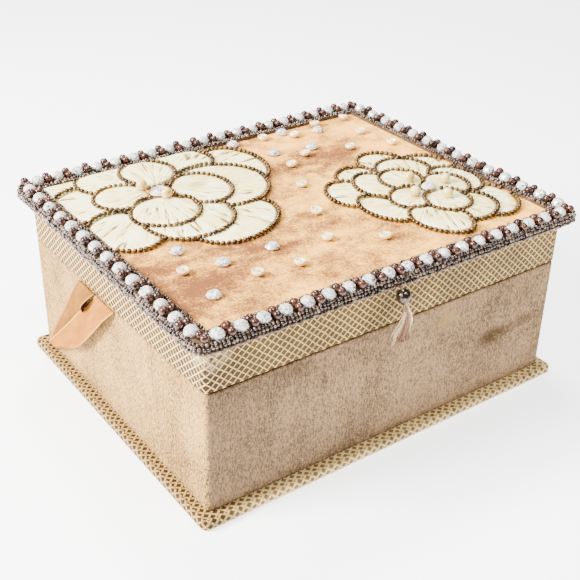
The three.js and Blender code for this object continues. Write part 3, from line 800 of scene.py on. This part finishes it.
# Flowers, in hundredths of the field's half width and half depth: petals from the lowest up,
# as x, y, half width, half height, turn in degrees and layer
LARGE_AT = (-52, 55)
LARGE_PETALS = [
    (-36.5, 40.5, 14.5, 15.5, 0, 1),
    (39.5, 47, 6, 8.5, 0, 1),
    (-34, 7, 19, 24, 0, 1),
    (-34.5, -36.5, 16, 24, 0, 1),
    (51.5, 12, 14, 28, 0, 1),
    (15.5, -59, 25, 21, 23, 1),
    (25, 32, 18.5, 19.5, 0, 2),
    (-13.5, 31.5, 18.5, 20.5, 0, 2),
    (29.5, -12.5, 24.5, 30, 0, 2),
    (-3, -43, 21.5, 23.5, 0, 2),
    (4.5, 27, 13, 17.5, 0, 3),
    (-20, 3.5, 13, 14.5, 0, 3),
    (19, -12, 13.5, 21, 0, 3),
    (-9.5, -29, 16, 18.5, 0, 3),
]
SMALL_AT = (63.5, -38)
SMALL_PETALS = [
    (-18, 40.5, 12, 15.5, 0, 1),
    (3.5, 52.5, 11.5, 15.5, 0, 1),
    (22, 31.5, 12, 17.5, 20, 1),
    (-36.5, 25.5, 9, 17, -12, 1),
    (-30.5, -4, 9, 19, 12, 1),
    (20, -29, 13.5, 21, -20, 1),
    (6.5, 34, 13.5, 17, 0, 2),
    (-18.5, 25.5, 9.5, 16.5, -15, 2),
    (22, 4, 11.5, 18.5, 0, 2),
    (5, -29, 14.5, 17, 0, 2),
    (-16, -34.5, 10.5, 19.5, 20, 2),
    (-4, 21, 10, 13.5, 0, 3),
    (12.5, 0, 9.5, 14.5, 0, 3),
    (-13.5, -3.5, 10, 12.5, 0, 3),
    (-0.5, -19, 10.5, 13, 0, 3),
]


def on_field(x, y):
    return x / 100 * FIELD_X, y / 100 * FIELD_Y


PETAL_RINGS = 26
PETAL_SPOKES = 120


class Petal:
    """An ellipse of satin on the lid, in metres."""

    def __init__(self, at, row):
        x, y, rx, ry, turn, self.layer = row
        self.x, self.y = on_field(at[0] + x, at[1] + y)
        self.rx, self.ry = on_field(rx, ry)
        self.turn = math.radians(turn)
        self.top = self.layer * PETAL_LAYER_H

    def reach(self, x, y, grow=0.0):
        dx, dy = x - self.x, y - self.y
        c, s = math.cos(self.turn), math.sin(self.turn)
        return np.hypot((dx * c + dy * s) / (self.rx + grow), (dy * c - dx * s) / (self.ry + grow))

    def place(self, angle, share=1.0, grow=0.0):
        u = (self.rx + grow) * share * np.cos(angle)
        v = (self.ry + grow) * share * np.sin(angle)
        c, s = math.cos(self.turn), math.sin(self.turn)
        return self.x + u * c - v * s, self.y + u * s + v * c


def petal_height(petals, index, x, y, s, fan, away):
    """Height of a petal's satin: gathered, drooping at its edge, and pressed down where others cover it."""
    shoulder = np.clip((s - 0.72) / 0.28, 0, 1)
    puff = 0.1 * MM * (1 - s**2)
    height = petals[index].top - PETAL_EDGE_DROP * shoulder**2 + puff + index * 0.03 * MM
    gather = np.zeros_like(x)
    for k in (9, 14, 23, 31):
        gather += np.sin(k * fan + nprng.uniform(0, 6)) / 4
    height += 0.28 * MM * gather * np.clip(away / (5 * MM), 0, 1) * (1 - 0.4 * s)
    for other in petals[index + 1:]:
        press = 1 - np.clip((other.reach(x, y) - 1.0) / 0.16, 0, 1)
        floor = other.top - PETAL_EDGE_DROP - 0.25 * MM
        height = np.where(press > 0, np.minimum(height, height * (1 - press) + floor * press), height)
    return np.maximum(height, 0.05 * MM)


def petal_piece(name, petals, index, at):
    """A puffed pad whose gathers run out from near the flower's middle, less what other petals hide."""
    own = petals[index]
    rings, spokes = PETAL_RINGS, PETAL_SPOKES
    share = np.linspace(0, 1, rings + 1)[1:]
    angle = np.arange(spokes) / spokes * 2 * math.pi
    s, a = np.meshgrid(share, angle, indexing="ij")
    x, y = own.place(a, s)
    x, y = np.append(x.ravel(), own.x), np.append(y.ravel(), own.y)
    s = np.append(s.ravel(), 0.0)
    middle_x, middle_y = on_field(*at)
    root_x = own.x + (middle_x - own.x) * 0.85
    root_y = own.y + (middle_y - own.y) * 0.85
    fan = np.arctan2(y - root_y, x - root_x)
    away = np.hypot(x - root_x, y - root_y)
    height = petal_height(petals, index, x, y, s, fan, away)
    limit_x, limit_y = FIELD_X - GAP, FIELD_Y - GAP
    x, y = np.clip(x, -limit_x, limit_x), np.clip(y, -limit_y, limit_y)

    # The rim has a second ring of points under it, so the petal has a side
    middle = rings * spokes
    rim = middle - spokes
    verts = list(zip(x, y, TRIM_Z + height))
    foot = len(verts)
    verts += [(x[rim + k], y[rim + k], TRIM_Z - GAP * 0.8) for k in range(spokes)]
    faces = []
    for inner in range(0, rim, spokes):
        outer = inner + spokes
        for k in range(spokes):
            j = (k + 1) % spokes
            faces.append((inner + k, outer + k, outer + j, inner + j))
    for k in range(spokes):
        j = (k + 1) % spokes
        faces.append((middle, k, j))
        faces.append((rim + k, foot + k, foot + j, rim + j))
    hidden = np.zeros(len(verts), dtype=bool)
    for other in petals[index + 1:]:
        hidden[:len(x)] |= other.reach(x, y) < 0.88
    faces = [f for f in faces if not all(hidden[i] for i in f)]

    fan = np.append(fan, fan[rim:middle])
    away = np.append(away, away[rim:middle])
    uvs = []
    for face in faces:
        turns = [fan[i] for i in face]
        wrapped = max(turns) - min(turns) > math.pi
        for i, t in zip(face, turns):
            uvs.append((t + 2 * math.pi if wrapped and t < 0 else t, away[i]))
    return build(name, verts, faces, PETAL_SATIN, "lid", uvs)


def open_runs(petals, index):
    """Lines along a petal's edge where no higher petal and no border covers it, and if each is closed."""
    own = petals[index]
    samples = 720
    grow = CHAIN_R + CHAIN_CLEARANCE
    angle = np.arange(samples) / samples * 2 * math.pi
    x, y = own.place(angle, 1.0, grow)
    margin = GAP + CHAIN_R
    free = (np.abs(x) < FIELD_X - margin) & (np.abs(y) < FIELD_Y - margin)
    for other in petals[index + 1:]:
        free &= other.reach(x, y, grow) >= 1
    if free.all():
        return [(list(zip(x, y)), True)]
    runs = []
    for i in range(samples):
        if free[i] and not free[i - 1]:
            run = []
            j = i
            while free[j % samples]:
                run.append((x[j % samples], y[j % samples]))
                j += 1
            runs.append((run, False))
    return runs


def chain_line(petals, own, run, closed):
    """The middle of a chain laid on the petals beside its own one, with its steps smoothed."""
    heights = []
    for x, y in run:
        lift = max([p.top for p in petals if p is not own and p.reach(x, y, 1.2 * MM) < 1], default=0.0)
        heights.append(TRIM_Z + lift + CHAIN_R * 0.85)
    width = min(21, len(heights))
    padded = np.pad(np.array(heights), width // 2, mode="wrap" if closed else "edge")
    smoothed = np.convolve(padded, np.ones(width) / width, mode="same")[width // 2: width // 2 + len(run)]
    return [(x, y, float(z)) for (x, y), z in zip(run, smoothed)]


def flower(name, at, rows, nodes):
    """A flower's petals, and its chains of beads that keep clear of the stones in nodes."""
    petals = [Petal(at, row) for row in rows]
    for index in range(len(petals)):
        piece = petal_piece(f"{name}_petal_{index + 1}", petals, index, at)
        if index == 0:
            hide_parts(f"{name}_petals")
    keep_outs = []
    for node in nodes:
        lo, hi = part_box(node)
        keep_outs.append((*centre_of(lo, hi)[:2], (hi[0] - lo[0]) / 2))
    beads = []
    for index, own in enumerate(petals):
        for run, closed in open_runs(petals, index):
            if len(run) < 4:
                continue
            for p, d in strung(chain_line(petals, own, run, closed), CHAIN_PITCH, closed):
                if all(math.hypot(p.x - x, p.y - y) > r + 0.4 * MM for x, y, r in keep_outs):
                    beads.append(bead_place(p, d, CHAIN_R * 1.08, 0.16))
    bead = bead_mesh(around=9, along=4, hole=0.3, length=0.92)
    copies(f"{name}_bead_chains", bead, beads, BRONZE, "lid", [f"{name}_chains"])


LARGE_NODES = ["large_flower_stone", "large_flower_pearl_1", "large_flower_pearl_2"]
SMALL_NODES = ["small_flower_stone"] + [f"small_flower_pearl_{i}" for i in range(1, 5)]
flower("large_flower", LARGE_AT, LARGE_PETALS, LARGE_NODES)
flower("small_flower", SMALL_AT, SMALL_PETALS, SMALL_NODES)


# Stones, pearls, crystals and sequins
def stone_on(node, template, material, roundness, height, tilt=0):
    """A stone or sequin in its node's place, sunk a little into the cloth and leaning by a tilt."""
    lo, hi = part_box(node)
    radius = (hi[0] - lo[0]) / 2
    sink = 0.2 * MM
    turn = rng.uniform(0, 0.5)
    size = np.diag([radius, radius * roundness, height + sink])
    lean = Matrix.Rotation(tilt, 3, Vector((math.cos(9 * turn), math.sin(9 * turn), 0)))
    foot_z = lo[2] - sink + radius * math.sin(tilt) * 0.6
    place = (np.array(lean) @ (size @ turned(turn)), (*centre_of(lo, hi)[:2], foot_z))
    copies(f"{node}_faceted", template, [place], material, "lid", [node], smooth=False)


def ball(name, node, radius, centre, material, segments, rings, dent=None):
    """A sphere in a node's place, each point drawn in by dent, a function of its direction."""
    bpy.ops.mesh.primitive_uv_sphere_add(segments=segments, ring_count=rings, radius=radius)
    piece = bpy.context.object
    piece.name = name
    if dent:
        for v in piece.data.vertices:
            v.co *= 1 - dent(v.co.normalized())
    piece.data.transform(Matrix.Translation(centre))
    piece.location = (0, 0, 0)
    piece.data.shade_smooth()
    piece.data.materials.append(material)
    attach(piece, "lid")
    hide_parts(node)


def pearl_on(node):
    lo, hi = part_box(node)
    centre = Vector(centre_of(lo, hi)) - Vector((0, 0, PEARL_SINK))
    ball(f"{node}_ball", node, (hi[2] - lo[2]) / 2, centre, PEARL, 32, 20)


SEQUIN_ROWS = ((0.5, 0.0), (0.88, 0.35), (1.0, 0.75), (0.84, 1.0), (0.42, 0.72))


def trims():
    oval = facet_mesh(12)
    for node in ("large_flower_stone", "small_flower_stone"):
        stone_on(node, oval, CRYSTAL, 0.88, 2.8 * MM)
    for node in LARGE_NODES[1:] + SMALL_NODES[1:]:
        pearl_on(node)
    round_stone = facet_mesh(9)
    for i in range(1, 10):
        stone_on(f"crystal_{i}", round_stone, CRYSTAL, 0.95, 2.6 * MM)
    cup = facet_mesh(9, SEQUIN_ROWS)
    for i in range(1, 17):
        node = f"sequin_{i}"
        lo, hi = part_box(node)
        stone_on(node, cup, SEQUIN, 1, 2.3 * MM, rng.uniform(0, 0.25))
        centre = (*centre_of(lo, hi)[:2], lo[2] + 1.9 * MM)
        copies(f"{node}_seed", SEED, [(np.eye(3) * 0.75 * MM, centre)], PEARL, "lid")


trims()


# Pull: metal ball, loop of thread and tassel
TASSEL_THREADS = 150
# The third colour, the tape's dark brown, is painted shadow on the cord above the ball.
THREADS = [PALE_THREAD, ROSE_THREAD, TAPE]
PALE, ROSE, PAINTED_SHADOW = range(3)


def tube(points, radius, sides=6):
    """A closed round tube along points, as points and faces."""
    verts = []
    line = [Vector(p) for p in points]
    for i, p in enumerate(line):
        along = (line[min(i + 1, len(line) - 1)] - line[max(i - 1, 0)]).normalized()
        across = along.cross(Vector((0, 1, 0)))
        if across.length < 0.1:
            across = along.cross(Vector((1, 0, 0)))
        across.normalize()
        rise = along.cross(across)
        for k in range(sides):
            t = k / sides * 2 * math.pi
            verts.append(p + across * (radius * math.cos(t)) + rise * (radius * math.sin(t)))
    faces = ring_faces(len(line), sides)
    faces.append(tuple(range(sides)))
    faces.append(tuple(reversed(range(len(verts) - sides, len(verts)))))
    return verts, faces


def curve(steps, point):
    """Points of a curve, where point takes the share of its way."""
    return [point(i / steps) for i in range(steps + 1)]


def tassel_thread(neck, hem, radius):
    """One thread from the neck, curving out to its end in the hem."""
    return tube(curve(9, lambda t: (
        neck.x + (hem.x - neck.x) * t**1.4 + 1.3 * MM * math.sin(math.pi * t),
        neck.y + (hem.y - neck.y) * (t + 0.22 * math.sin(math.pi * t)),
        neck.z + (hem.z - neck.z) * t,
    )), radius, 5)


def pull():
    centre = Vector(centre_of(BALL_LO, BALL_HI))
    radius = (BALL_HI[1] - BALL_LO[1]) / 2

    def dent(towards):
        x, y, z = towards
        return 0.06 * abs(math.sin(7 * x + 3) * math.sin(8 * y + 1) * math.sin(7 * z + 2))

    ball("pull_ball_metal", "pull_ball", radius, centre, GUNMETAL, 40, 28, dent)
    hem_x = centre_of(TASSEL_LO, TASSEL_HI)[0] - 0.7 * MM
    half_x = (TASSEL_HI[0] - TASSEL_LO[0]) / 2
    half_y = (TASSEL_HI[1] - TASSEL_LO[1]) / 2
    neck = Vector((centre.x + 1.6 * MM, centre.y, BALL_LO[2] - 1.8 * MM))
    verts, faces, shades = [], [], []

    def join(tubing, shade):
        v, f = tubing
        shades.extend([shade] * len(f))
        faces.extend(tuple(i + len(verts) for i in face) for face in f)
        verts.extend(v)

    for _ in range(TASSEL_THREADS):
        turn = rng.uniform(0, 2 * math.pi)
        reach = math.sqrt(rng.uniform(0.01, 1))
        sideways = math.cos(turn) * reach
        hem = Vector((
            hem_x + half_x * sideways,
            centre.y + half_y * 0.9 * reach * math.sin(turn),
            TASSEL_LO[2] + rng.uniform(0.0, 4.5) * MM * (0.35 + abs(sideways)),
        ))
        start = neck + Vector((rng.uniform(-0.5, 0.5), rng.uniform(-0.5, 0.5), 0)) * MM
        outer = sideways < -0.66 or sideways > 0.8
        join(tassel_thread(start, hem, THREAD_R), PALE if outer or rng.random() < 0.15 else ROSE)
    cord_z = TASSEL_LO[2] + 5 * MM
    join(tube(curve(11, lambda t: (
        neck.x + (0.6 + 2.6 * math.sin(2.2 * t)) * MM,
        centre.y - 1.2 * MM * math.sin(math.pi * t),
        neck.z - (neck.z - cord_z) * t,
    )), 0.5 * MM), PALE)
    wrap_r = 0.95 * MM
    for k in range(4):
        z = neck.z - (1.2 + 0.45 * k) * MM
        join(tube(curve(16, lambda t: (
            neck.x + wrap_r * math.cos(t * 2 * math.pi),
            neck.y + wrap_r * math.sin(t * 2 * math.pi),
            z,
        )), 0.25 * MM), ROSE)
    loop_z = centre.z + radius * 0.4
    join(tube(curve(14, lambda t: (
        neck.x + (centre.x - neck.x) * t + 1.5 * MM * math.sin(math.pi * t),
        centre.y - 0.4 * MM,
        neck.z + (loop_z - neck.z) * t,
    )), CORD_R), PALE)
    # The cord from the ball over the border takes the tape's dark brown. This is painted shadow, because the
    # cord lies in the shade by the ball.
    join(tube(curve(7, lambda t: (
        centre.x,
        centre.y + t * (radius + 1.5 * MM),
        centre.z + radius * 0.8 + t * 1.2 * MM,
    )), CORD_R), PAINTED_SHADOW)
    build("tassel_threads", verts, faces, (THREADS, shades), "lid", node=["tassel"])


pull()


# Ribbon stay and cloth hinge
def cloth(name, rows, columns, size, point, material, thickness):
    """A sheet of a flat size on a grid. point takes the shares of the way across and along it."""
    verts = [point(j / columns, i / rows) for i in range(rows + 1) for j in range(columns + 1)]
    faces, uvs = [], []
    for i in range(rows):
        for j in range(columns):
            a = i * (columns + 1) + j
            b = a + columns + 1
            faces.append((a, b, b + 1, a + 1))
            for ii, jj in ((i, j), (i + 1, j), (i + 1, j + 1), (i, j + 1)):
                uvs.append((jj / columns * size[0], ii / rows * size[1]))
    piece = build(name, verts, faces, material, None, uvs)
    solid = piece.modifiers.new("thickness", "SOLIDIFY")
    solid.thickness = thickness
    solid.offset = 0
    return piece


def strand_piece(name, y, span, bow, sag, curl, dip, material, bodies):
    """One strand, from the seam to the fold on the ledge, standing out from the wall.

    Near the seam its front edge curls out or its back edge dips to the wall, and its front corner on the
    ledge turns up.
    """
    foot_z = BASE_HI[2] + GAP + RIBBON_T / 2
    drop = SEAM_Z - foot_z
    length = math.hypot(RIBBON_FOOT_Y - y, drop)

    def point(across, t):
        side = across - 0.5
        middle = y + (RIBBON_FOOT_Y - y) * t - sag * math.sin(math.pi * t)
        width = span + (RIBBON_FOOT_SPAN - span) * t
        rise = math.sin(math.pi / 2 * min(1, 2 * math.sin(math.pi * t)))
        lift = math.sin(math.pi * min(t / RIBBON_CURL_END, 1))
        sway = 0.2 * MM * math.sin(9 * t + 5 * side) * rise
        bend = curl * lift * (0.5 - side) ** 1.5 - dip * lift * (0.5 + side) ** 1.5
        out = GAP + RIBBON_T + bow * rise + bend + sway
        corner_up = 0.3 * drop * (0.5 - side) ** 3 * t**6
        return BODY_LO[0] - out, middle + side * width, SEAM_Z - drop * t + corner_up

    piece = cloth(name, 60, 18, (RIBBON_W, length), point, material, 0.25 * MM)
    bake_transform(piece)
    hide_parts("ribbon_stay")


strand_piece("ribbon_back", **BACK_STRAND, material=RIBBON_SHADED, bodies=("lid", "box"))
strand_piece("ribbon_front", **FRONT_STRAND, material=RIBBON_SATIN, bodies=("box", "lid"))


def cloth_hinge():
    width = HINGE_HI[0] - HINGE_LO[0]
    height = HINGE_HI[2] - HINGE_LO[2]
    y = centre_of(HINGE_LO, HINGE_HI)[1]

    def point(across, t):
        return (across - 0.5) * width, y, HINGE_LO[2] + height * t

    piece = cloth("hinge_velvet", 36, 60, (width, height), point, BODY_VELVET, 0.7 * MM)
    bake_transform(piece)
    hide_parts("cloth_hinge")


cloth_hinge()


# Floor, light and camera
def area_light(name, location, size, energy):
    """A warm round light aimed at the middle of the box."""
    data = bpy.data.lights.new(name, "AREA")
    data.shape = "DISK"
    data.size = size
    data.energy = energy
    data.color = (1.0, 0.98, 0.95)
    lamp = bpy.data.objects.new(name, data)
    lamp.location = location
    lamp.rotation_euler = (Vector((0, 0, 0.05)) - Vector(location)).to_track_quat("-Z", "Y").to_euler()
    bpy.context.scene.collection.objects.link(lamp)


def studio():
    bpy.ops.mesh.primitive_plane_add(size=6, location=(0, 0, -0.1 * MM))
    floor = bpy.context.object
    floor.name = "floor"
    look = Look("floor_paper", roughness=0.55)
    look.colour(look.mix(look.noise("Object", 3.0), (0.86, 0.87, 0.88), (0.9, 0.905, 0.91)))
    look.shader.inputs["Emission Color"].default_value = (0.97, 0.99, 1.0, 1)
    look.shader.inputs["Emission Strength"].default_value = 2.6
    floor.data.materials.append(look.material)
    world = bpy.data.worlds.new("studio")
    world.use_nodes = True
    background = world.node_tree.nodes["Background"]
    background.inputs["Color"].default_value = (0.93, 0.97, 1.0, 1)
    background.inputs["Strength"].default_value = 0.3
    bpy.context.scene.world = world
    area_light("key", (-0.92, 0.2, 0.72), size=0.5, energy=84)
    area_light("top", (0.15, 0.45, 0.95), size=0.25, energy=18)
    area_light("front_top", (0.1, -0.45, 1.1), size=0.35, energy=10)


def photo_camera():
    """The camera fitted to the box's edges in the photo, with its focal length in the photo's pixels."""
    width_px = 580
    focal_px = 1027.9
    place = Vector((-264.8, -362.4, 305.6)) * MM
    right = Vector((0.81457, -0.57978, 0.01851))
    forward = Vector((0.50752, 0.69687, -0.50676))
    up = right.cross(forward)
    data = bpy.data.cameras.new("photo")
    data.sensor_width = 36
    data.lens = data.sensor_width * focal_px / width_px
    data.clip_start = 0.01
    camera = bpy.data.objects.new("photo", data)
    turn = Matrix((right, up, -forward)).transposed()
    camera.matrix_world = Matrix.Translation(place) @ turn.to_4x4()
    bpy.context.scene.collection.objects.link(camera)
    bpy.context.scene.camera = camera


studio()
photo_camera()
